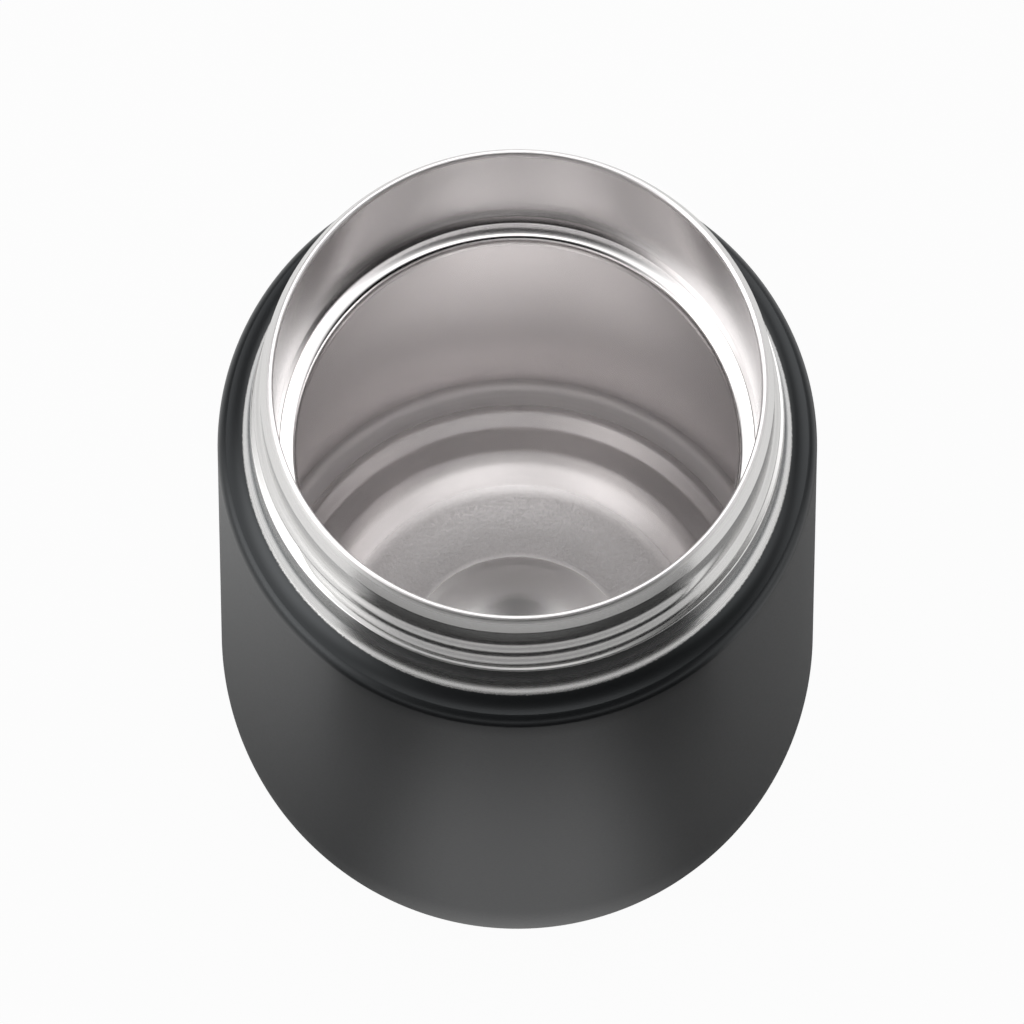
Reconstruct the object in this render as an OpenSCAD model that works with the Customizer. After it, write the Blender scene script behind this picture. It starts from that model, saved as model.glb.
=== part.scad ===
// Open double-wall steel travel mug without its lid: a coated body with a bare steel screw neck,
// and a vessel inside it, with a vacuum between the two. Millimetres, +Z up.
// The origin is the centre of the circle that the mug stands on.

/* [Body] */
// Outside diameter of the coated body
body_d = 80; // [76:1:92]
// Height from the table to the top of the lip
total_h = 123; // [112:1:150]
// Sheet thickness of the body
shell_wall = 0.6; // [0.4:0.05:0.8]
// Width of the vacuum between body and vessel
vacuum_gap = 2.8; // [2:0.1:3.5]

/* [Shoulder and collar] */
// Depth of the shoulder's outer edge below the lip
shoulder_depth = 22.5; // [21:0.5:28]
// Fall of the shoulder towards its edge, in degrees
shoulder_fall = 20; // [8:1:24]
// Radius of the sweep from the collar into the shoulder
shoulder_sweep_r = 5; // [2:0.5:5.5]
// Radius of the shoulder's outer edge
shoulder_edge_r = 1.2; // [0.8:0.1:2]
// Step from the screw neck out to the plain collar
collar_step = 1.3; // [0.9:0.1:1.8]
// Depth of the collar's upper edge below the lip
collar_depth = 13.9; // [12:0.1:15]
// Height of the bevel on the collar's upper edge
collar_bevel_h = 0.7; // [0.4:0.1:1.2]

/* [Mouth and neck] */
// Diameter of the mouth bore
mouth_d = 65; // [60:0.5:66]
// Width of the vacuum between the neck and the mouth bore
neck_gap = 0.7; // [0.5:0.1:1]
// Height of the cone between the lip and the neck
neck_cone_h = 1.3; // [0.8:0.1:2.5]
// Height of the lip's rolled bead
lip_h = 0.8; // [0.6:0.05:1.2]
// Width of the lip's rolled bead
lip_w = 0.75; // [0.7:0.05:0.9]
// Depth of the mouth bore's straight part below the lip
mouth_depth = 20.5; // [18:0.5:22]
// Distance by which the mouth narrows at its foot, on the radius
mouth_taper = 0.95; // [0.4:0.05:1.5]

/* [Vessel] */
// Sheet thickness of the vessel
liner_wall = 0.5; // [0.3:0.05:0.6]
// Depth of the ledge below the lip
ledge_depth = 25.2; // [24:0.2:28]
// Width of the ledge
ledge_w = 2.15; // [2:0.05:5]
// Radius of the ledge's rolled edge
ledge_roll_r = 1.6; // [1.1:0.1:1.8]
// Height of the throat, roll included
throat_h = 3.4; // [3:0.1:6]
// Angle of the flare under the throat from the vertical, in degrees
flare_angle = 60; // [45:1:68]
// Radius of the bend where the throat runs into the flare
flare_inner_r = 3; // [1.5:0.1:4]
// Radius of the bend where the flare runs into the vessel's wall
flare_outer_r = 5; // [2:0.5:6]

/* [Vessel bottom] */
// Height of the vacuum under the vessel's lowest point
bottom_gap = 4.5; // [3.5:0.1:8]
// Distance of the stepped ring from the vessel's wall
step_inset = 4.1; // [3:0.1:6]
// Height of the stepped ring
step_h = 4.6; // [2.6:0.1:5]
// Lean of the stepped ring's side from the vertical, in degrees
step_lean = 18; // [8:1:24]
// Radius on the stepped ring's upper edge
step_edge_r = 1.4; // [0.9:0.1:2]
// Radius at the foot of the stepped ring
step_foot_r = 2.6; // [1:0.1:3.4]
// Rise from the stepped ring to the vessel's wall, in degrees
corner_rise = 42; // [30:1:50]
// Radius of the corner between that rise and the wall
corner_r = 4; // [2:0.5:6]
// Height of the weld above that corner
vessel_seam_rise = 0.9; // [0.5:0.1:5]
// Fall of the floor towards the middle, in degrees
floor_fall = 12; // [4:1:14]
// Diameter of the grained ring in the floor
grain_ring_d = 47.3; // [40:0.1:48]
// Diameter of the recess in the middle of the floor
recess_d = 30.3; // [24:0.1:36]
// Depth of the recess at its side
recess_drop = 0.9; // [0.5:0.1:1.4]
// Slope of the recess's side, in degrees
recess_slope = 40; // [25:1:60]
// Radius on the recess's edges
recess_edge_r = 1.2; // [0.6:0.1:1.4]
// Depth of the dish in the recess
dish_depth = 0.8; // [0.3:0.1:1.2]

/* [Base] */
// Height at which the side begins to curve towards the base
base_curve_h = 23.2; // [20:0.2:26]
// Radius of the side's curve towards the base
base_curve_r = 42; // [38:1:60]
// Radius of the corner that the curve ends in
base_corner_r = 3; // [2:0.5:4]
// Height of the weld between body tube and base above the curve, hidden by the coat
body_seam_rise = 3.8; // [1:0.1:10]
// Height of the base's flat edge above the table
base_edge_h = 0.6; // [0.4:0.1:1.2]
// Width of the base's flat edge
base_edge_w = 2.7; // [1.6:0.1:4]
// Depth of the recess under the base
base_recess_depth = 1.8; // [1.4:0.1:2.2]
// Radius of the recess's bends
base_bend_r = 0.7; // [0.6:0.05:0.8]

/* [Base fittings] */
// Width of the silicone foot ring
foot_w = 8.7; // [5:0.1:10]
// Rounding of the foot ring's edges
foot_round_r = 0.5; // [0.2:0.1:0.6]
// Clearance round the pieces in the base recess
recess_clearance = 0.3; // [0.2:0.05:0.5]
// Thickness of the steel cover over the port
cover_wall = 0.5; // [0.3:0.1:0.8]
// Rounding of the cover's edge
cover_round_r = 0.15; // [0.1:0.05:0.25]
// Diameter of the dimple round the evacuation port
dimple_d = 10; // [9:0.5:12]
// Depth of the dimple round the evacuation port
dimple_depth = 1; // [0.8:0.1:1.2]
// Diameter of the evacuation port
port_d = 2; // [1.4:0.1:3]
// Diameter of the glass bead that seals the port
bead_d = 6; // [5:0.2:6.6]
// Clearance between the glass bead and the cover
bead_clearance = 0.2; // [0.1:0.05:0.3]

/* [Vacuum space] */
// Thickness of the radiation foil
foil_t = 0.1; // [0.08:0.02:0.2]
// Gap between the vessel and its foil
foil_gap = 0.3; // [0.2:0.05:0.5]
// Distance of the foil wrap from the vessel's weld and from its flare
foil_margin = 3; // [1:0.5:8]
// Angle over which the foil wrap laps itself, in degrees
foil_lap = 18; // [8:1:40]
// Diameter of the getter pellet
getter_d = 9; // [7:0.5:11]
// Height of the getter pellet
getter_h = 1.6; // [1.2:0.1:1.8]
// Clearance between the pellet and its holder
getter_clearance = 0.2; // [0.1:0.05:0.3]
// Sheet thickness of the getter's holder
holder_wall = 0.3; // [0.2:0.05:0.4]
// Height of the holder's rim
holder_h = 1.1; // [0.8:0.1:1.5]
// Distance of the holder from the port's dimple
holder_gap = 2; // [1:0.5:5]

/* [Hidden] */
$fn = 180;

coat_colour = [0.27, 0.28, 0.28];
steel_colour = [0.70, 0.69, 0.68];
foil_colour = [0.85, 0.86, 0.88];
getter_colour = [0.35, 0.34, 0.33];
glass_colour = [0.25, 0.32, 0.30];
rubber_colour = [0.12, 0.12, 0.12];

// Distance that a bend's straight pieces may lie off its true curve, and the most that each may turn
bend_tolerance = 0.005;
bend_step = 15;
// Clearance between the body's mouth edge and the vessel inside it
weld_gap = 0.05;
// Radii of the small bends at the neck, the collar and the mouth bore
neck_bend_r = 0.4;
collar_bend_r = 0.3;
mouth_bend_r = 3;
ledge_bend_r = 0.3;

body_r = body_d / 2;
mouth_r = mouth_d / 2;
mouth_back_r = mouth_r + liner_wall;
lip_r = mouth_r + lip_w;
neck_r = mouth_back_r + neck_gap + shell_wall;
collar_r = neck_r + collar_step;
throat_r = mouth_r - mouth_taper - ledge_w;
vessel_r = body_r - shell_wall - vacuum_gap - liner_wall;

lip_edge_z = total_h - lip_h;
neck_top_z = lip_edge_z - neck_cone_h;
collar_z = total_h - collar_depth;
shoulder_edge_z = total_h - shoulder_depth;
shoulder_z = shoulder_edge_z + (body_r - collar_r) * tan(shoulder_fall);
ledge_z = total_h - ledge_depth;

// A sheet's outline is a list of corners [r, z, bend radius] in the plane that is turned about Z

function point(corner) = [corner[0], corner[1]];
function way(from, to) = let (v = point(to) - point(from)) v / norm(v);
function left(v) = [-v[1], v[0]];
function is_end(line, i) = i <= 0 || i >= len(line) - 1;
function reversed(list) = [for (i = [len(list) - 1 : -1 : 0]) list[i]];

// Angle by which the outline turns at corner i, above 0 to the left
function turn(line, i) = is_end(line, i) ? 0 :
    let (before = way(line[i - 1], line[i]), after = way(line[i], line[i + 1]))
    atan2(left(before) * after, before * after);

// Length that the bend at corner i takes from the straights beside it
function wish(line, i) = line[i][2] * tan(abs(turn(line, i)) / 2);

// Share of their wishes that the bends at neighbours i and j get from the straight between them
function share(line, i, j) =
    let (room = norm(point(line[i]) - point(line[j])), wishes = wish(line, i) + wish(line, j))
    wishes > room ? room / wishes : 1;

function arc(middle, radius, from, to, most = bend_step) =
    let (step = min(most, 2 * acos(1 - min(0.5, bend_tolerance / radius))),
         steps = ceil(abs(to - from) / step))
    [for (k = [0 : steps])
        let (angle = from + (to - from) * k / steps)
        middle + radius * [cos(angle), sin(angle)]];

function bend(line, i) =
    let (angle = turn(line, i),
         reach = wish(line, i) * min(share(line, i - 1, i), share(line, i, i + 1)))
    reach < bend_tolerance ? [point(line[i])] :
    let (radius = reach / tan(abs(angle) / 2),
         before = way(line[i - 1], line[i]),
         inwards = left(before) * sign(angle),
         middle = point(line[i]) - before * reach + inwards * radius,
         from = atan2(-inwards[1], -inwards[0]))
    arc(middle, radius, from, from + angle);

// Points without those that fall on the one before
function distinct(points) = [for (i = [0 : len(points) - 1])
    if (i == 0 || norm(points[i] - points[i - 1]) > bend_tolerance) points[i]];

// Points of the outline with its bends
function bent(line) = distinct([for (i = [0 : len(line) - 1])
    each is_end(line, i) ? [point(line[i])] : bend(line, i)]);

// The same outline moved sideways, above 0 to the left, with bends about the same middles
function moved(line, distance) = [for (i = [0 : len(line) - 1])
    let (before = left(i == 0 ? way(line[0], line[1]) : way(line[i - 1], line[i])),
         after = is_end(line, i) ? before : left(way(line[i], line[i + 1])),
         shift = (before + after) * distance / (1 + before * after),
         radius = line[i][2] > 0 ? max(0, line[i][2] - distance * sign(turn(line, i))) : 0)
    [line[i][0] + shift[0], line[i][1] + shift[1], radius]];

// Sheet between an outline and the same outline moved by the wall, turned about Z
module turned_sheet(line, wall) {
    rotate_extrude()
        polygon(concat(bent(line), reversed(bent(moved(line, wall)))));
}

// Outer face of the base. The side's curve and the corner meet where both lean by base_lean.
base_corner_z = base_edge_h + base_corner_r;
base_lean = asin((base_curve_h - base_corner_z) / (base_curve_r - base_corner_r));
base_corner_x = body_r - base_curve_r + (base_curve_r - base_corner_r) * cos(base_lean);
base_recess_r = base_corner_x - base_edge_w;
body_seam_z = base_curve_h + body_seam_rise;
recess_z = base_edge_h + base_recess_depth;
dimple_z = recess_z + dimple_depth;
base_line = [
    [body_r, body_seam_z, 0],
    [body_r, base_curve_h - base_curve_r * tan(base_lean / 2), base_curve_r],
    [base_corner_x + base_corner_r * tan(45 - base_lean / 2), base_edge_h, base_corner_r],
    [base_recess_r, base_edge_h, base_bend_r],
    [base_recess_r, recess_z, base_bend_r],
    [dimple_d / 2, recess_z, base_bend_r],
    [dimple_d / 2 - dimple_depth / 2, dimple_z, base_bend_r],
    [port_d / 2, dimple_z, 0]];
base_top_z = recess_z + shell_wall;

// Outer face of the body tube, from under the lip down to its weld
shell_line = [
    [lip_r, lip_edge_z, 0],
    [neck_r, neck_top_z, neck_bend_r],
    [neck_r, collar_z + collar_bevel_h, collar_bend_r],
    [collar_r, collar_z, collar_bend_r],
    [collar_r, shoulder_z, shoulder_sweep_r],
    [body_r, shoulder_edge_z, shoulder_edge_r],
    [body_r, body_seam_z, 0]];
shell_back = moved(shell_line, -shell_wall);

// Inner face of the vessel's bottom, worked out from the middle of its floor
dish_z = base_top_z + bottom_gap + liner_wall;
recess_side_z = dish_z + dish_depth;
recess_edge_z = recess_side_z + recess_drop;
recess_r = recess_d / 2;
dish_r = recess_r - recess_drop / tan(recess_slope);
dish_bend_r = dish_r / 2 / tan(atan(2 * dish_depth / dish_r) / 2);
step_r = vessel_r - step_inset;
step_foot_x = step_r - step_h * tan(step_lean);
step_foot_z = recess_edge_z + (step_foot_x - recess_r) * tan(floor_fall);
step_z = step_foot_z + step_h;
corner_z = step_z + step_inset * tan(corner_rise);
vessel_seam_z = corner_z + corner_r * tan(45 - corner_rise / 2) + vessel_seam_rise;
bottom_line = [
    [vessel_r, vessel_seam_z, 0],
    [vessel_r, corner_z, corner_r],
    [step_r, step_z, step_edge_r],
    [step_foot_x, step_foot_z, step_foot_r],
    [recess_r, recess_edge_z, recess_edge_r],
    [dish_r, recess_side_z, recess_edge_r],
    [dish_r / 2, dish_z, dish_bend_r],
    [0, dish_z, 0]];

// Inner face of the vessel, from the lip down to its weld
flare_z = ledge_z - throat_h - flare_inner_r * tan(flare_angle / 2);
wall_z = flare_z - (vessel_r - throat_r) / tan(flare_angle);
liner_line = [
    [mouth_r, total_h - lip_w / 2, 0],
    [mouth_r, total_h - mouth_depth, mouth_bend_r],
    [mouth_r - mouth_taper, ledge_z, ledge_bend_r],
    [throat_r, ledge_z, ledge_roll_r],
    [throat_r, flare_z, flare_inner_r],
    [vessel_r, wall_z, flare_outer_r],
    [vessel_r, vessel_seam_z, 0]];

foil_offset = liner_wall + foil_gap;
foil_low_z = vessel_seam_z + foil_margin;
foil_high_z = wall_z - flare_outer_r * tan(flare_angle / 2) - foil_margin;

foot_r = base_recess_r - recess_clearance;
foot_inner_r = foot_r - foot_w;
cover_r = foot_inner_r - recess_clearance;
holder_r = getter_d / 2 + getter_clearance + holder_wall;
holder_x = dimple_d / 2 + holder_gap + holder_r;

module outer_shell() {
    face = bent(shell_line);
    back = bent([for (i = [0 : len(shell_back) - 1])
        i == 0 ? [mouth_back_r + weld_gap, lip_edge_z, 0] : shell_back[i]]);
    color(coat_colour)
        rotate_extrude()
            polygon(concat(face, reversed(back)));
}

module outer_base() {
    color(coat_colour)
        turned_sheet(base_line, -shell_wall);
}

// The vessel's wall with the lip's bead, which rests on the body's mouth edge
module inner_liner() {
    face = bent(liner_line);
    back = bent([for (corner = moved(liner_line, liner_wall))
        [corner[0], min(corner[1], lip_edge_z), corner[2]]]);
    bead = arc([mouth_r + lip_w / 2, total_h - lip_w / 2], lip_w / 2, 180, 0);
    color(steel_colour)
        rotate_extrude()
            polygon(concat(bead, [[lip_r, lip_edge_z]], back, reversed([for (i = [1 : len(face) - 1]) face[i]])));
}

module liner_base() {
    color(steel_colour)
        turned_sheet(bottom_line, liner_wall);
}

// Foil round the vessel, closed by a lap of its own thickness
module foil_wrap() {
    foil_h = foil_high_z - foil_low_z;
    color(foil_colour)
        translate([0, 0, foil_low_z]) {
            rotate_extrude()
                translate([vessel_r + foil_offset, 0])
                    square([foil_t, foil_h]);
            rotate_extrude(angle = foil_lap)
                translate([vessel_r + foil_offset, 0])
                    square([2 * foil_t, foil_h]);
        }
}

// Foil dish that follows the vessel's bottom up to the weld
module foil_cup() {
    color(foil_colour)
        turned_sheet(moved(bottom_line, foil_offset), foil_t);
}

module getter_holder() {
    color(steel_colour)
        translate([holder_x, 0, base_top_z])
            difference() {
                cylinder(r = holder_r, h = holder_h);
                translate([0, 0, holder_wall])
                    cylinder(r = holder_r - holder_wall, h = holder_h);
            }
}

module getter_pellet() {
    color(getter_colour)
        translate([holder_x, 0, base_top_z + holder_wall])
            cylinder(d = getter_d, h = getter_h);
}

// Glass bead that has run flat over the port
module vacuum_plug() {
    bead_h = dimple_depth - bead_clearance;
    bead_r = (bead_d * bead_d / 4 + bead_h * bead_h) / (2 * bead_h);
    color(glass_colour)
        rotate_extrude()
            polygon(concat([[0, dimple_z]], arc([0, recess_z + bead_clearance + bead_r], bead_r,
                -90, asin(bead_d / 2 / bead_r) - 90)));
}

module base_cover() {
    color(steel_colour)
        rotate_extrude()
            polygon(bent([
                [0, recess_z, 0],
                [0, recess_z - cover_wall, 0],
                [cover_r, recess_z - cover_wall, cover_round_r],
                [cover_r, recess_z, 0]]));
}

module foot_ring() {
    color(rubber_colour)
        rotate_extrude()
            polygon(bent([
                [foot_inner_r, recess_z, 0],
                [foot_inner_r, 0, foot_round_r],
                [foot_r, 0, foot_round_r],
                [foot_r, recess_z, base_bend_r],
                [foot_r - foot_w / 2, recess_z, 0]]));
}

outer_shell();
outer_base();
inner_liner();
liner_base();
foil_wrap();
foil_cup();
getter_holder();
getter_pellet();
vacuum_plug();
base_cover();
foot_ring();
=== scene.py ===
# Open steel travel mug without its lid, on a pale floor in plain studio light
import math

import bmesh
import bpy
from mathutils import Matrix, Vector


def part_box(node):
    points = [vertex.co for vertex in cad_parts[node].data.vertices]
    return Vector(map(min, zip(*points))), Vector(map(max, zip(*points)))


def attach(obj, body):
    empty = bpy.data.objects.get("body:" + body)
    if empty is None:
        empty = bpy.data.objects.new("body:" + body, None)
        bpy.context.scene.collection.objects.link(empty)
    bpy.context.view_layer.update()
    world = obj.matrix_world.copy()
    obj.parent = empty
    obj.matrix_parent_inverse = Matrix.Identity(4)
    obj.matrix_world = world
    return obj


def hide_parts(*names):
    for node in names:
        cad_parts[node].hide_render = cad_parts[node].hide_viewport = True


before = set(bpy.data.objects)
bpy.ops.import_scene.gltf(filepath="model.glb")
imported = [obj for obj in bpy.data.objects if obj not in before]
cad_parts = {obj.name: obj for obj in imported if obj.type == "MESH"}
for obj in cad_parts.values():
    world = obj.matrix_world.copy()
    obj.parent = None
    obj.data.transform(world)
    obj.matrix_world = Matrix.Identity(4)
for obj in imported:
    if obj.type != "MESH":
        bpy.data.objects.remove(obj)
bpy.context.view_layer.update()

# Lengths below are millimetres, angles degrees and scales per metre, unless a note says otherwise

mm = 0.001
upAxis = (0, 0, 1)
origin = (0, 0, 0)


def inMillimetres(node):
    low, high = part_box(node)
    return low / mm, high / mm


shellLow, shellHigh = inMillimetres("outer_shell")
linerLow, linerHigh = inMillimetres("inner_liner")
baseLow, baseHigh = inMillimetres("outer_base")
bottomHigh = inMillimetres("liner_base")[1]
bodyR = shellHigh.x
totalH = linerHigh.z

# Camera: the view of the photograph, from the front and high above

camera = {
    "elevation": 70.5,
    "distance": 5.0,  # metres from the middle of the lip
    "pixelsPerMm": 7.53,  # at the lip
    "lipPixel": (516.85, 383.3),  # where the middle of the lip falls
    "imageSide": 1024,
    "sensor": 36.0,
}


def placeCamera():
    tilt = math.radians(camera["elevation"])
    back = Vector((0, -math.cos(tilt), math.sin(tilt)))
    right = Vector((1, 0, 0))
    up = back.cross(right)
    middle = camera["imageSide"] / 2
    pixel = mm / camera["pixelsPerMm"]
    lip = Vector((0, 0, totalH * mm))
    across, down = [(value + 0.5 - middle) * pixel for value in camera["lipPixel"]]
    aim = lip - right * across + up * down
    data = bpy.data.cameras.new("camera")
    data.sensor_width = camera["sensor"]
    data.lens = camera["distance"] / pixel / camera["imageSide"] * camera["sensor"]
    data.clip_start = camera["distance"] / 100
    data.clip_end = camera["distance"] * 10
    holder = bpy.data.objects.new("camera", data)
    holder.location = aim + back * camera["distance"]
    holder.rotation_mode = "QUATERNION"
    holder.rotation_quaternion = (-back).to_track_quat("-Z", "Y")
    bpy.context.scene.collection.objects.link(holder)
    bpy.context.scene.camera = holder


placeCamera()
print("camera placed")

# Shader helpers


class Flow:
    # a node's output, on which Python's operators add Math nodes
    def __init__(self, finish, socket):
        self.finish, self.socket = finish, socket

    def math(self, operation, *values):
        return self.finish.node("Math", {"operation": operation}, dict(enumerate(values)))

    def __add__(self, other):
        return self.math("ADD", self, other)

    def __radd__(self, other):
        return self.math("ADD", other, self)

    def __sub__(self, other):
        return self.math("SUBTRACT", self, other)

    def __rsub__(self, other):
        return self.math("SUBTRACT", other, self)

    def __mul__(self, other):
        return self.math("MULTIPLY", self, other)

    def __rmul__(self, other):
        return self.math("MULTIPLY", other, self)

    def __truediv__(self, other):
        return self.math("DIVIDE", self, other)

    def __pow__(self, other):
        return self.math("POWER", self, other)

    def most(self, other):
        return self.math("MAXIMUM", self, other)

    # 0 below the first value, 1 above the second, with a soft step between
    def step(self, start, end):
        ranged = {"interpolation_type": "SMOOTHSTEP"}
        return self.finish.node("MapRange", ranged, {"Value": self, "From Min": start, "From Max": end})


class Finish:
    # the node tree of a material or of the world
    def __init__(self, owner):
        owner.use_nodes = True
        self.owner = owner
        self.tree = owner.node_tree
        self.tree.nodes.clear()

    def node(self, kind, settings=None, inputs=None, output=0):
        made = self.tree.nodes.new("ShaderNode" + kind)
        for name, value in (settings or {}).items():
            setattr(made, name, value)
        for name, value in (inputs or {}).items():
            if isinstance(value, Flow):
                self.tree.links.new(value.socket, made.inputs[name])
            else:
                made.inputs[name].default_value = value
        return Flow(self, made.outputs[output]) if made.outputs else None

    # the place on the object in millimetres: x, y, z and the distance from the axis
    def place(self):
        point = self.node("TexCoord", output="Object")
        x, y, z = [self.node("SeparateXYZ", {}, {"Vector": point}, axis) / mm for axis in range(3)]
        return x, y, z, (x * x + y * y) ** 0.5

    def vector(self, x, y, z):
        return self.node("CombineXYZ", {}, {"X": x, "Y": y, "Z": z})

    def noise(self, point, scale, detail, roughness=0.5):
        inputs = {"Vector": point, "Scale": scale, "Detail": detail, "Roughness": roughness}
        return self.node("TexNoise", {}, inputs)

    # turning lines round the axis: how often one changes on its way round, and lines to a millimetre
    def streaks(self, along, across):
        x, y, z, radius = self.place()
        turn = self.vector(x / radius * along, y / radius * along, z * across)
        inputs = {"Vector": turn, "W": radius * across, "Scale": 1.0, "Detail": 3.0, "Roughness": 0.6}
        return self.node("TexNoise", {"noise_dimensions": "4D"}, inputs)

    # a Mix node of colours has its colour inputs at 6 and 7, and its colour output at 2
    def blend(self, share, first, second):
        return self.node("Mix", {"data_type": "RGBA"}, {0: share, 6: first, 7: second}, 2)

    def bump(self, height, distance, strength):
        return self.node("Bump", {}, {"Height": height, "Distance": distance * mm, "Strength": strength})

    def surface(self, inputs):
        shader = self.node("BsdfPrincipled", {}, inputs)
        self.node("OutputMaterial", {}, {"Surface": shader})
        return self.owner


def newFinish(name):
    return Finish(bpy.data.materials.new(name))


def grey(value, warmth=0.0):
    return (value * (1 + warmth), value, value * (1 - warmth), 1.0)


# Mesh helpers. An outline is a list of corners (r, z, bend radius), spun about Z.

mesh = {
    "wedges": 18,  # round the axis
    "wedgeSteps": 20,  # in each wedge
    "bendStep": 6.0,  # the widest angle of one piece of a bend
    "chord": 1.2,  # and its greatest length
    "gap": 4.0,  # the longest piece of a straight
    "sharp": 40.0,  # from here on an edge is drawn sharp
    "tiny": 0.01,  # a bend that is shorter is a plain corner
    "near": 0.005,  # a bend that starts nearer to the pen starts at it
    "merge": 0.002,
}


def flatPoint(corner):
    return Vector((corner[0], corner[1]))


def leftOf(way):
    return Vector((-way.y, way.x))


def waysAt(outline, i):
    point = flatPoint(outline[i])
    before = (point - flatPoint(outline[i - 1])).normalized()
    after = (flatPoint(outline[i + 1]) - point).normalized()
    return before, after


def turnAt(outline, i):
    if i in (0, len(outline) - 1):
        return 0.0
    before, after = waysAt(outline, i)
    return math.atan2(leftOf(before).dot(after), before.dot(after))


# the same outline moved sideways, to the left for a distance above 0, with bends about the same middles
def movedOutline(outline, distance):
    moved = []
    last = len(outline) - 1
    for i, corner in enumerate(outline):
        if i == 0:
            before = after = waysAt(outline, 1)[0]
        elif i == last:
            before = after = waysAt(outline, last - 1)[1]
        else:
            before, after = waysAt(outline, i)
        first, second = leftOf(before), leftOf(after)
        shift = (first + second) * distance / (1 + first.dot(second))
        inward = distance if turnAt(outline, i) > 0 else -distance
        radius = max(0.0, corner[2] - inward) if corner[2] else 0.0
        moved.append((corner[0] + shift.x, corner[1] + shift.y, radius))
    return moved


def extendTo(bm, pen, target, gap):
    end = Vector((target.x * mm, 0, target.y * mm))
    cuts = max(1, math.ceil((end - pen.co).length / (gap * mm)))
    step = (end - pen.co) / cuts
    for cut in range(cuts):
        place = pen.co + step
        pen = bmesh.ops.extrude_vert_indiv(bm, verts=[pen])["verts"][0]
        pen.co = place
    return pen


def drawOutline(bm, outline, gaps=None):
    start = flatPoint(outline[0])
    pen = bm.verts.new((start.x * mm, 0, start.y * mm))
    for i in range(1, len(outline)):
        corner = flatPoint(outline[i])
        gap = (gaps or {}).get(i, mesh["gap"])
        turn = turnAt(outline, i)
        radius = outline[i][2]
        reach = radius * math.tan(abs(turn) / 2)
        if reach < mesh["tiny"]:
            pen = extendTo(bm, pen, corner, gap)
            continue
        before, after = waysAt(outline, i)
        begin = corner - before * reach
        middle = begin + leftOf(before) * math.copysign(radius, turn)
        if (begin - Vector((pen.co.x, pen.co.z)) / mm).length > mesh["near"]:
            pen = extendTo(bm, pen, begin, gap)
        byAngle = math.degrees(abs(turn)) / mesh["bendStep"]
        byLength = radius * abs(turn) / mesh["chord"]
        steps = max(2, math.ceil(max(byAngle, byLength)))
        spun = bmesh.ops.spin(bm, geom=[pen], cent=(middle.x * mm, 0, middle.y * mm), axis=(0, -1, 0),
                              dvec=origin, angle=turn, steps=steps, use_duplicate=False)
        pen = [item for item in spun["geom_last"] if isinstance(item, bmesh.types.BMVert)][0]
    return pen


# one wedge is spun, and then copied round, which is much quicker than one long spin
def spinRound(bm):
    wedge = math.tau / mesh["wedges"]
    bmesh.ops.spin(bm, geom=bm.verts[:] + bm.edges[:], cent=origin, axis=upAxis, dvec=origin,
                   angle=wedge, steps=mesh["wedgeSteps"], use_duplicate=False)
    everything = bm.verts[:] + bm.edges[:] + bm.faces[:]
    bmesh.ops.spin(bm, geom=everything, cent=origin, axis=upAxis, dvec=origin,
                   angle=math.tau - wedge, steps=mesh["wedges"] - 1, use_duplicate=True)
    bmesh.ops.remove_doubles(bm, verts=bm.verts[:], dist=mesh["merge"] * mm)
    bmesh.ops.recalc_face_normals(bm, faces=bm.faces[:])


def makePiece(bm, name, material, node):
    data = bpy.data.meshes.new(name)
    bm.to_mesh(data)
    bm.free()
    data.shade_smooth()
    data.set_sharp_from_angle(angle=math.radians(mesh["sharp"]))
    piece = bpy.data.objects.new(name, data)
    bpy.context.scene.collection.objects.link(piece)
    data.materials.append(material)
    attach(piece, "root")
    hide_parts(node)
    return piece


# a sheet of one thickness, spun about Z
def drawSheet(bm, outline, wall, gaps=None, backOutline=None):
    back = backOutline or movedOutline(outline, wall)
    closed = list(outline) + back[::-1]
    last = drawOutline(bm, closed, gaps)
    bm.verts.ensure_lookup_table()
    if (last.co - bm.verts[0].co).length > mesh["merge"] * mm:
        bm.edges.new((last, bm.verts[0]))


# Body: the coated tube with its bare steel neck

body = {
    "wall": 0.6,
    "lipEdge": (33.15, 122.25),  # where the vessel's lip folds over it
    "mouthBackR": 33.05,  # its inner side there
    "neckR": 34.2,  # the thread's root
    "neckTop": 120.2,
    "neckBend": 0.6,
    "collarR": 35.6,
    "collarZ": 109.1,
    "bevelH": 0.7,
    "collarBend": 0.3,
    "sweepR": 5.0,
    "shoulderFall": 20.0,
    "shoulderEdgeZ": 100.5,
    "shoulderEdgeR": 2.4,
    "bareZ": 105.0,  # nothing but steel above
    "threadGap": 0.12,  # between the rings that the thread is raised on
}

thread = {
    "lift": 0.85,
    "pitch": 4.6,
    "crest": 0.4,  # width of the flat crest
    "flank": 1.9,  # height of each flank
    "start": 206.0,  # azimuths of the ends, counted on from the first turn
    "end": 688.0,
    "startFade": 14.0,  # over which it rises from the neck
    "endFade": 24.0,
    "frontAzimuth": 270.0,
    "frontZ": 109.5,  # middle of the crest there
}


def softStep(value):
    value = min(1.0, max(0.0, value))
    return value * value * (3 - 2 * value)


def threadLift(azimuth, z):
    lift = 0.0
    for turn in range(3):
        along = azimuth + 360 * turn
        if not thread["start"] <= along <= thread["end"]:
            continue
        middle = thread["frontZ"] + thread["pitch"] * (along - thread["frontAzimuth"]) / 360
        off = abs(z - middle) - thread["crest"] / 2
        shape = softStep(1 - off / thread["flank"])
        ends = softStep((along - thread["start"]) / thread["startFade"])
        ends *= softStep((thread["end"] - along) / thread["endFade"])
        lift = max(lift, thread["lift"] * shape * ends)
    return lift


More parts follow.
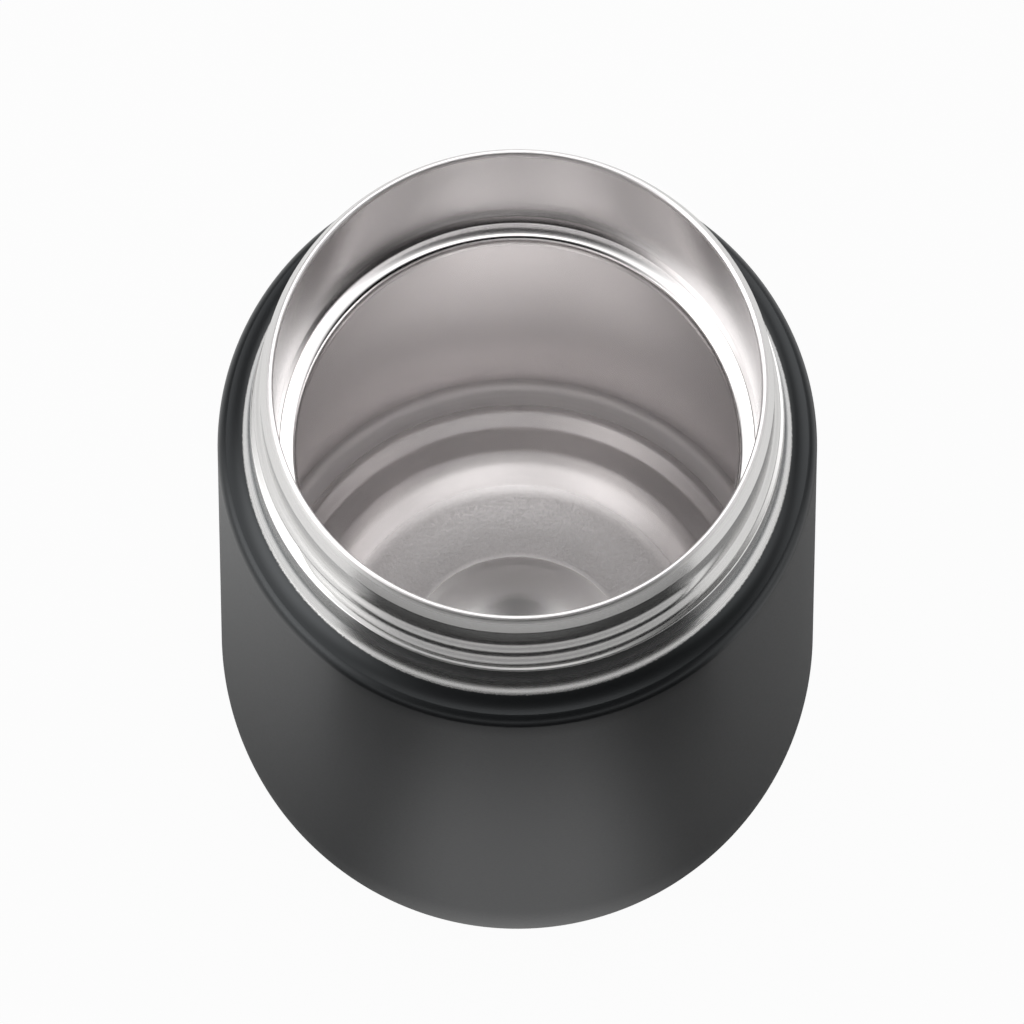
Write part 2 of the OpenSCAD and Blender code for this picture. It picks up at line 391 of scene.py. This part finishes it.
def raiseThread(bm):
    for vert in bm.verts:
        radius = math.hypot(vert.co.x, vert.co.y) / mm
        z = vert.co.z / mm
        onNeck = body["collarZ"] < z < body["neckTop"]
        if radius < body["neckR"] - mesh["tiny"] or not onNeck:
            continue
        azimuth = math.degrees(math.atan2(vert.co.y, vert.co.x)) % 360
        lifted = max(radius, body["neckR"] + threadLift(azimuth, z))
        vert.co.x *= lifted / radius
        vert.co.y *= lifted / radius


def makeBody(material):
    fall = math.tan(math.radians(body["shoulderFall"]))
    shoulderZ = body["shoulderEdgeZ"] + (bodyR - body["collarR"]) * fall
    face = [
        (*body["lipEdge"], 0),
        (body["neckR"], body["neckTop"], body["neckBend"]),
        (body["neckR"], body["collarZ"] + body["bevelH"], body["collarBend"]),
        (body["collarR"], body["collarZ"], body["collarBend"]),
        (body["collarR"], shoulderZ, body["sweepR"]),
        (bodyR, body["shoulderEdgeZ"], body["shoulderEdgeR"]),
        (bodyR, shellLow.z, 0),
    ]
    back = movedOutline(face, -body["wall"])
    back[0] = (body["mouthBackR"], body["lipEdge"][1], 0)
    gaps = {2: body["threadGap"], 3: body["threadGap"]}  # by the corner that a straight ends at
    bm = bmesh.new()
    drawSheet(bm, face, -body["wall"], gaps, back)
    spinRound(bm)
    raiseThread(bm)
    return makePiece(bm, "body_shell", material, "outer_shell")


# Base of the body, with the recess that the foot ring and the cover sit in

base = {
    "curveZ": 23.2,
    "curveR": 42.0,
    "cornerR": 3.0,
    "edgeW": 2.7,
    "recessDepth": 1.8,
    "bendR": 0.7,
    "dimpleR": 5.0,
    "dimpleDepth": 1.0,
    "portR": 1.0,
}


def makeBase(material):
    edgeZ = baseLow.z
    recessZ = edgeZ + base["recessDepth"]
    dimpleZ = recessZ + base["dimpleDepth"]
    inner = base["curveR"] - base["cornerR"]
    lean = math.asin((base["curveZ"] - edgeZ - base["cornerR"]) / inner)
    cornerX = bodyR - base["curveR"] + inner * math.cos(lean)
    recessR = cornerX - base["edgeW"]
    face = [
        (bodyR, baseHigh.z, 0),
        (bodyR, base["curveZ"] - base["curveR"] * math.tan(lean / 2), base["curveR"]),
        (cornerX + base["cornerR"] * math.tan(math.pi / 4 - lean / 2), edgeZ, base["cornerR"]),
        (recessR, edgeZ, base["bendR"]),
        (recessR, recessZ, base["bendR"]),
        (base["dimpleR"], recessZ, base["bendR"]),
        (base["dimpleR"] - base["dimpleDepth"] / 2, dimpleZ, base["bendR"]),
        (base["portR"], dimpleZ, 0),
    ]
    bm = bmesh.new()
    drawSheet(bm, face, -body["wall"])
    spinRound(bm)
    return makePiece(bm, "body_base", material, "outer_base")


# Vessel: the lip, the mouth bore, the ledge, the throat and the wall

vessel = {
    "wall": 0.5,
    "mouthR": 32.5,
    "lipR": 33.25,
    "lipBend": 0.2,  # at the lip's outer edge, under its bead
    "seamDrop": 0.05,  # from the bead to where the outline starts
    "mouthFoot": (32.1, 100.0),
    "mouthBend": 2.0,
    "taperFoot": (31.72, 98.12),
    "taperBend": 0.15,
    "ledge": (31.0, 98.06),
    "ledgeBend": 5.0,
    "throatR": 29.4,
    "throatTop": 97.66,
    "throatFoot": 95.3,
    "throatBend": 1.2,
    "wallR": 36.1,
    "wallZ": 88.8,
    "flareBend": 5.0,
}


def makeVessel(material):
    bead = (vessel["lipR"] - vessel["mouthR"]) / 2
    face = [
        (vessel["mouthR"], totalH - bead, 0),
        (*vessel["mouthFoot"], vessel["mouthBend"]),
        (*vessel["taperFoot"], vessel["taperBend"]),
        (*vessel["ledge"], vessel["ledgeBend"]),
        (vessel["throatR"], vessel["throatTop"], vessel["throatBend"]),
        (vessel["throatR"], vessel["throatFoot"], vessel["throatBend"]),
        (vessel["wallR"], vessel["wallZ"], vessel["flareBend"]),
        (vessel["wallR"], linerLow.z, 0),
    ]
    back = movedOutline(face, vessel["wall"])[1:]
    lip = [
        (vessel["mouthR"] + vessel["wall"], body["lipEdge"][1], 0),
        (vessel["lipR"], body["lipEdge"][1], vessel["lipBend"]),
        (vessel["lipR"], totalH, bead),
        (vessel["mouthR"], totalH, bead),
    ]
    seam = (vessel["mouthR"], totalH - bead - vessel["seamDrop"], 0)
    bm = bmesh.new()
    drawOutline(bm, [seam] + face[1:] + back[::-1] + lip + [seam])
    spinRound(bm)
    return makePiece(bm, "vessel", material, "inner_liner")


# Bottom of the vessel: a rounded corner, a steep riser, a bowl, a blasted ring and a flat recess

bottom = {
    "profile": [  # from the wall to the middle
        (36.1, 22.5, 4.0),  # the rounded corner
        (33.2, 19.35, 4.0),
        (31.3, 17.9, 3.5),  # the steep riser's top
        (28.95, 15.45, 4.0),  # and its foot
        (27.3, 14.2, 10.0),  # the bowl
        (25.2, 12.95, 14.0),
        (19.91, 10.25, 19.0),  # the blasted ring
        (15.5, 10.13, 4.0),  # the step down to the recess
        (14.3, 10.04, 4.0),
        (10.0, 9.82, 30.0),
        (5.0, 9.27, 20.0),
        (0.0, 9.2, 0),
    ],
}


def makeBottom(material):
    face = [(vessel["wallR"], bottomHigh.z, 0)] + bottom["profile"]
    bm = bmesh.new()
    drawSheet(bm, face, vessel["wall"])
    spinRound(bm)
    return makePiece(bm, "vessel_bottom", material, "liner_base")


# Underside: the silicone ring that the mug stands on, and the steel cover inside it

foot = {
    "innerR": 20.02,
    "edgeBend": 0.6,
    "topBend": 0.2,
}

cover = {
    "panelR": 16.0,
    "panelDepth": 0.2,
    "panelSlope": 0.5,
    "panelBend": 0.6,
    "edgeBend": 0.15,
}


def makeFoot(material):
    low, high = inMillimetres("foot_ring")
    middle = ((foot["innerR"] + high.x) / 2, high.z, 0)
    bm = bmesh.new()
    drawOutline(bm, [
        middle,
        (foot["innerR"], high.z, foot["topBend"]),
        (foot["innerR"], low.z, foot["edgeBend"]),
        (high.x, low.z, foot["edgeBend"]),
        (high.x, high.z, foot["topBend"]),
        middle,
    ])
    spinRound(bm)
    return makePiece(bm, "foot", material, "foot_ring")


def makeCover(material):
    low, high = inMillimetres("base_cover")
    panelZ = low.z + cover["panelDepth"]
    bm = bmesh.new()
    drawOutline(bm, [
        (0, high.z, 0),
        (high.x, high.z, cover["edgeBend"]),
        (high.x, low.z, cover["edgeBend"]),
        (cover["panelR"], low.z, cover["panelBend"]),
        (cover["panelR"] - cover["panelSlope"], panelZ, cover["panelBend"]),
        (0, panelZ, 0),
    ])
    spinRound(bm)
    return makePiece(bm, "cover", material, "base_cover")


# Finishes

turned = {  # what all the turned and spun steel shares
    "lineRoughness": 0.03,  # that the turning lines add
    "lineTurn": 0.25,  # of a full turn, so that the highlights spread across the lines
    "bump": 0.5,  # strength
    "lipZ": (121.6, 122.3),  # the lip is duller above
    "lipRoughness": 0.2,  # that it adds
}

neckSteel = {
    "dark": grey(0.72, 0.012),
    "light": grey(0.8, 0.012),
    "lines": (3.0, 5.0),
    "roughness": 0.24,
    "spread": 0.6,  # how far the lines stretch a highlight
    "depth": 0.0005,
}

coat = {
    "dark": (0.0088, 0.0095, 0.0102, 1.0),
    "light": (0.0108, 0.0115, 0.0124, 1.0),
    "cloudScale": 60.0,
    "sheen": (0.93, 0.97, 1.0, 1.0),  # the tint of its gloss
    "roughness": 0.29,
    "grainRoughness": 0.08,
    "grainScale": 2600.0,
    "grainHeight": 0.6,
    "edgeZ": 102.6,  # where the coat ends on the shoulder's sweep
    "edgeSoft": 0.15,
    "edgeScale": 3500.0,
    "ragged": 0.44,  # how far the edge runs up and down
    "bareRoughness": 0.06,  # that the lines add where the steel is bare
    "bareHeight": 0.1,
    "depth": 0.02,
    "bump": 0.5,
}


def lipDullness(z):
    return z.step(*turned["lipZ"]) * turned["lipRoughness"]


def neckFinish():
    finish = newFinish("neck_steel")
    z = finish.place()[2]
    streaks = finish.streaks(*neckSteel["lines"])
    return finish.surface({
        "Base Color": finish.blend(streaks, neckSteel["dark"], neckSteel["light"]),
        "Metallic": 1.0,
        "Roughness": neckSteel["roughness"] + streaks * turned["lineRoughness"] + lipDullness(z),
        "Anisotropic": neckSteel["spread"],
        "Anisotropic Rotation": turned["lineTurn"],
        "Normal": finish.bump(streaks, neckSteel["depth"], turned["bump"]),
    })


# the coat has its own strip of bare steel, as its ragged edge runs across the shoulder's sweep
def coatFinish():
    finish = newFinish("powder_coat")
    point = finish.node("TexCoord", output="Object")
    z = finish.place()[2]
    grain = finish.noise(point, coat["grainScale"], 3.0, 0.6)
    cloud = finish.noise(point, coat["cloudScale"], 3.0, 0.5)
    ragged = finish.noise(point, coat["edgeScale"], 3.0, 0.7)
    edge = z + (ragged - 0.5) * coat["ragged"]
    bare = edge.step(coat["edgeZ"] - coat["edgeSoft"], coat["edgeZ"] + coat["edgeSoft"])
    streaks = finish.streaks(*neckSteel["lines"])
    coatColour = finish.blend(cloud, coat["dark"], coat["light"])
    steelColour = finish.blend(streaks, neckSteel["dark"], neckSteel["light"])
    coatRoughness = (coat["roughness"] + grain * coat["grainRoughness"]) * (1 - bare)
    steelRoughness = (neckSteel["roughness"] + streaks * coat["bareRoughness"]) * bare
    height = grain * (1 - bare) * coat["grainHeight"] + streaks * bare * coat["bareHeight"]
    return finish.surface({
        "Base Color": finish.blend(bare, coatColour, steelColour),
        "Metallic": bare,
        "Specular Tint": coat["sheen"],
        "Roughness": coatRoughness + steelRoughness,
        "Normal": finish.bump(height, coat["depth"], coat["bump"]),
    })


vesselSteel = {
    "dark": (0.835, 0.812, 0.810, 1.0),
    "light": (0.88, 0.858, 0.856, 1.0),
    "lines": (3.0, 4.0),
    "boreRoughness": 0.2,
    "boreSoft": 1.0,  # either way of the bore's foot
    "ledgeRoughness": 0.14,
    "wallRoughness": 0.25,
    "wallSoft": 1.0,  # under the throat
    "spread": 0.4,
    "depth": 0.0004,
}


def vesselFinish():
    finish = newFinish("vessel_steel")
    z = finish.place()[2]
    streaks = finish.streaks(*vesselSteel["lines"])
    boreZ, throatZ = vessel["mouthFoot"][1], vessel["throatFoot"]
    bore = z.step(boreZ - vesselSteel["boreSoft"], boreZ + vesselSteel["boreSoft"])
    wall = 1 - z.step(throatZ - vesselSteel["wallSoft"], throatZ)
    smooth = vesselSteel["ledgeRoughness"] * (1 - bore - wall) + vesselSteel["boreRoughness"] * bore
    satin = vesselSteel["wallRoughness"] * wall
    return finish.surface({
        "Base Color": finish.blend(streaks, vesselSteel["dark"], vesselSteel["light"]),
        "Metallic": 1.0,
        "Roughness": smooth + satin + streaks * turned["lineRoughness"] + lipDullness(z),
        "Anisotropic": vesselSteel["spread"],
        "Anisotropic Rotation": turned["lineTurn"],
        "Normal": finish.bump(streaks, vesselSteel["depth"], turned["bump"]),
    })


bottomSteel = {
    "dark": (0.7, 0.68, 0.678, 1.0),
    "light": (0.88, 0.858, 0.856, 1.0),
    "lines": (3.0, 4.0),
    "lineShade": 0.4,
    "lineHeight": 0.04,
    "recessR": (15.0, 15.5),  # each pair is where one finish turns into the next
    "blastInner": (15.3, 16.1),
    "blastOuter": (23.2, 25.4),
    "cornerR": (33.0, 35.5),
    "roughness": 0.21,
    "recessRoughness": 0.18,
    "blastRoughness": 0.5,
    "cornerRoughness": 0.4,
    "speckleScale": 2200.0,
    "speckleShade": 2.2,
    "speckleRoughness": 0.3,
    "speckleHeight": 3.0,
    "depth": 0.02,
    "bump": 0.6,
    "spread": 0.3,
}


def bottomFinish():
    finish = newFinish("bottom_steel")
    point = finish.node("TexCoord", output="Object")
    radius = finish.place()[3]
    streaks = finish.streaks(*bottomSteel["lines"])
    grain = finish.noise(point, bottomSteel["speckleScale"], 3.0, 0.7)
    recess = 1 - radius.step(*bottomSteel["recessR"])
    corner = radius.step(*bottomSteel["cornerR"])
    blasted = radius.step(*bottomSteel["blastInner"])
    blasted = blasted * (1 - radius.step(*bottomSteel["blastOuter"]))
    plain = bottomSteel["recessRoughness"] * recess + bottomSteel["cornerRoughness"] * corner
    plain = plain + bottomSteel["roughness"] * (1 - recess - corner)
    plain = (plain + streaks * turned["lineRoughness"]) * (1 - blasted)
    speckle = (grain - 0.5) * blasted
    shade = streaks * bottomSteel["lineShade"] * (1 - blasted) + 0.5
    shade = shade + speckle * bottomSteel["speckleShade"]
    coarse = bottomSteel["blastRoughness"] * blasted
    height = streaks * bottomSteel["lineHeight"] * (1 - blasted)
    height = height + speckle * bottomSteel["speckleHeight"]
    return finish.surface({
        "Base Color": finish.blend(shade, bottomSteel["dark"], bottomSteel["light"]),
        "Metallic": 1.0,
        "Roughness": plain + coarse + speckle * bottomSteel["speckleRoughness"],
        "Anisotropic": bottomSteel["spread"],
        "Anisotropic Rotation": turned["lineTurn"],
        "Normal": finish.bump(height, bottomSteel["depth"], bottomSteel["bump"]),
    })


coverSteel = {
    "dark": grey(0.5, 0.015),
    "light": grey(0.6, 0.015),
    "lines": (2.0, 9.0),
    "roughness": 0.22,
    "lineRoughness": 0.1,
    "wearRoughness": 0.08,
    "wearScale": 160.0,
    "spread": 0.5,
    "depth": 0.002,
}


def coverFinish():
    finish = newFinish("cover_steel")
    point = finish.node("TexCoord", output="Object")
    streaks = finish.streaks(*coverSteel["lines"])
    wear = finish.noise(point, coverSteel["wearScale"], 4.0, 0.6)
    worn = streaks * coverSteel["lineRoughness"] + wear * coverSteel["wearRoughness"]
    return finish.surface({
        "Base Color": finish.blend(streaks, coverSteel["dark"], coverSteel["light"]),
        "Metallic": 1.0,
        "Roughness": worn + coverSteel["roughness"],
        "Anisotropic": coverSteel["spread"],
        "Normal": finish.bump(streaks, coverSteel["depth"], turned["bump"]),
    })


# grainy finishes of the small and hidden pieces
grainy = {
    "silicone": {
        "shades": (grey(0.026), grey(0.034)), "metallic": 0.0, "roughness": 0.55,
        "scale": 2600.0, "depth": 0.02,
    },
    "foil_wrap": {
        "shades": (grey(0.76), grey(0.84)), "metallic": 1.0, "roughness": 0.24,
        "scale": 420.0, "depth": 0.15,
    },
    "foil_cup": {
        "shades": (grey(0.76), grey(0.84)), "metallic": 1.0, "roughness": 0.24,
        "scale": 420.0, "depth": 0.15,
    },
    "getter_holder": {
        "shades": (grey(0.44, 0.02), grey(0.54, 0.02)), "metallic": 1.0, "roughness": 0.38,
        "scale": 1800.0, "depth": 0.01,
    },
    "getter_pellet": {
        "shades": (grey(0.09, 0.04), grey(0.15, 0.04)), "metallic": 0.6, "roughness": 0.75,
        "scale": 3800.0, "depth": 0.05,
    },
    "vacuum_plug": {
        "shades": ((0.16, 0.23, 0.2, 1.0), (0.22, 0.3, 0.26, 1.0)), "metallic": 0.0,
        "roughness": 0.14, "scale": 1500.0, "depth": 0.01,
    },
}
grainyVariation = {
    "cloudSize": 15,  # grains across one cloud
    "grainRoughness": 0.12,
    "cloudRoughness": 0.1,
    "bump": 0.6,
}


def grainyFinish(name):
    look = grainy[name]
    finish = newFinish(name)
    point = finish.node("TexCoord", output="Object")
    grain = finish.noise(point, look["scale"], 3.0, 0.6)
    cloud = finish.noise(point, look["scale"] / grainyVariation["cloudSize"], 3.0)
    uneven = (grain - 0.5) * grainyVariation["grainRoughness"]
    uneven = uneven + (cloud - 0.5) * grainyVariation["cloudRoughness"]
    return finish.surface({
        "Base Color": finish.blend(cloud, *look["shades"]),
        "Metallic": look["metallic"],
        "Roughness": uneven + look["roughness"],
        "Normal": finish.bump(grain, look["depth"], grainyVariation["bump"]),
    })


coatMaterial = coatFinish()
bodyShell = makeBody(coatMaterial)
bodyShell.data.materials.append(neckFinish())
for face in bodyShell.data.polygons:
    if face.center.z > body["bareZ"] * mm:
        face.material_index = 1
makeBase(coatMaterial)
makeVessel(vesselFinish())
makeBottom(bottomFinish())
makeFoot(grainyFinish("silicone"))
makeCover(coverFinish())
print("body, vessel and underside made")

for nodeName in ("foil_wrap", "foil_cup", "getter_holder", "getter_pellet", "vacuum_plug"):
    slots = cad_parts[nodeName].data.materials
    slots.clear()
    slots.append(grainyFinish(nodeName))
print("hidden pieces finished")

# Studio: a pale floor, and a dark room with soft lights in it, each a round patch with a soft edge


def makeStage(bm, name, material):
    data = bpy.data.meshes.new(name)
    bm.to_mesh(data)
    bm.free()
    stage = bpy.data.objects.new(name, data)
    bpy.context.scene.collection.objects.link(stage)
    data.materials.append(material)
    return stage


# the floor that the steel mirrors carries painted light: a painted shadow of the mug round it, deeper to
# the right, painted dimming far out, and a painted pale patch in front
floor = {
    "side": 6.0,  # metres
    "z": -0.0001,  # metres, clear of the foot ring's underside
    "shade": grey(0.32),
    "white": 0.965,  # share of plain white that the camera sees
    "glossWhite": 0.9,  # and that the steel mirrors
    "paintedShadeShift": 28.0,  # to the right, where the painted shadow of the mug on the mirrored floor is deeper
    "paintedShadeReach": (68.0, 150.0),  # from there, between which the painted shadow on the mirrored floor ends and it turns white
    "glossFade": (220.0, 400.0),  # from the mug, between which the mirrored floor is painted darker again
    "glossLoss": 0.35,  # the share that it loses there
    "paintedPatchPlace": 62.0,  # before the mug's axis, a painted pale patch of light that the neck mirrors
    "paintedPatchReach": (15.0, 45.0),
    "paintedPatchWhite": 0.53,
}


# how white the floor is: one share for the camera, another for what mirrors it
def whiteShare(finish, seenWhite, mirroredWhite):
    seen = finish.node("LightPath", output="Is Camera Ray")
    shiny = finish.node("LightPath", output="Is Glossy Ray")
    through = finish.node("LightPath", output="Is Transmission Ray")
    return (seen * seenWhite).most(shiny.most(through) * mirroredWhite)


def makeFloor():
    bm = bmesh.new()
    bmesh.ops.create_grid(bm, x_segments=1, y_segments=1, size=floor["side"] / 2,
                          matrix=Matrix.Translation((0, 0, floor["z"])))
    finish = newFinish("floor")
    x, y, z, radius = finish.place()
    # painted shadow of the mug and painted dimming far out, in the white that reflections see
    away = ((x - floor["paintedShadeShift"]) ** 2 + y * y) ** 0.5
    fade = 1 - radius.step(*floor["glossFade"]) * floor["glossLoss"]
    gloss = away.step(*floor["paintedShadeReach"]) * fade * floor["glossWhite"]
    # a painted pale patch of light in front of the mug, in the white that reflections see
    before = (x * x + (y + floor["paintedPatchPlace"]) ** 2) ** 0.5
    gloss = gloss.most((1 - before.step(*floor["paintedPatchReach"])) * floor["paintedPatchWhite"])
    share = whiteShare(finish, floor["white"], gloss)
    dull = finish.node("BsdfDiffuse", {}, {"Color": floor["shade"]})
    white = finish.node("Emission", {}, {"Color": grey(1.0), "Strength": 1.0})
    mixed = finish.node("MixShader", {}, {0: share, 1: dull, 2: white})
    finish.node("OutputMaterial", {}, {"Surface": mixed})
    makeStage(bm, "floor", finish.owner)


card = {  # a dark sheet on the floor in front, which only the steel's reflections show: painted shade in them
    "inner": 0.074,  # metres from the axis
    "outer": 0.36,
    "z": 0.001,
    "azimuth": 272.0,  # of its middle
    "spread": 108.0,  # round the mug
    "steps": 24,
    "shade": grey(0.02),
}


def makeCard():
    spread = math.radians(card["spread"])
    start = math.radians(card["azimuth"]) - spread / 2
    bm = bmesh.new()
    ends = []
    for radius in (card["inner"], card["outer"]):
        ends.append(bm.verts.new((radius * math.cos(start), radius * math.sin(start), card["z"])))
    edge = bm.edges.new(ends)
    bmesh.ops.spin(bm, geom=ends + [edge], cent=origin, axis=upAxis, dvec=origin, angle=spread,
                   steps=card["steps"], use_duplicate=False)
    finish = newFinish("painted_shade_card")
    dull = finish.node("BsdfDiffuse", {}, {"Color": card["shade"]})
    finish.node("OutputMaterial", {}, {"Surface": dull})
    made = makeStage(bm, "painted_shade_card", finish.owner)
    # painted shade in reflections: the camera, diffuse light and shadows don't see the sheet
    made.visible_camera = False
    made.visible_diffuse = False
    made.visible_shadow = False


room = {
    "lights": [  # azimuth, elevation, degrees from the middle to the edge's end and start, strength
        (150, 69, 50, 15, 1.3),
        (75, 50, 60, 12, 1.2),
        (30, 38, 32, 8, 0.85),
        (345, 0, 30, 8, 1.5),
        (285, 71, 22, 6, 1.45),
        (210, 25, 30, 8, 0.39),
        (195, 10, 38, 10, 2.7),
    ],
    "darkTop": (74, 82),  # elevations between which the lights end under the ceiling
}


def wayTo(azimuth, elevation):
    turn, rise = math.radians(azimuth), math.radians(elevation)
    return Vector((math.cos(turn) * math.cos(rise), math.sin(turn) * math.cos(rise), math.sin(rise)))


def makeRoom():
    world = bpy.data.worlds.new("studio")
    bpy.context.scene.world = world
    finish = Finish(world)
    way = finish.node("TexCoord", output="Generated")
    height = finish.node("SeparateXYZ", {}, {"Vector": way}, 2)
    light = 0.0
    for azimuth, elevation, outer, inner, strength in room["lights"]:
        inputs = {0: way, 1: wayTo(azimuth, elevation)}
        near = finish.node("VectorMath", {"operation": "DOT_PRODUCT"}, inputs, "Value")
        outerEdge, innerEdge = [math.cos(math.radians(angle)) for angle in (outer, inner)]
        light = near.step(outerEdge, innerEdge) * strength + light
    low, high = [math.sin(math.radians(angle)) for angle in room["darkTop"]]
    light = light * (1 - height.step(low, high))
    seen = finish.node("LightPath", output="Is Camera Ray")
    shade = finish.node("Background", {}, {"Color": grey(1.0), "Strength": light * (1 - seen) + seen})
    finish.node("OutputWorld", {}, {"Surface": shade})


makeFloor()
makeCard()
makeRoom()
print("studio made")

bpy.context.scene.view_settings.view_transform = "Standard"
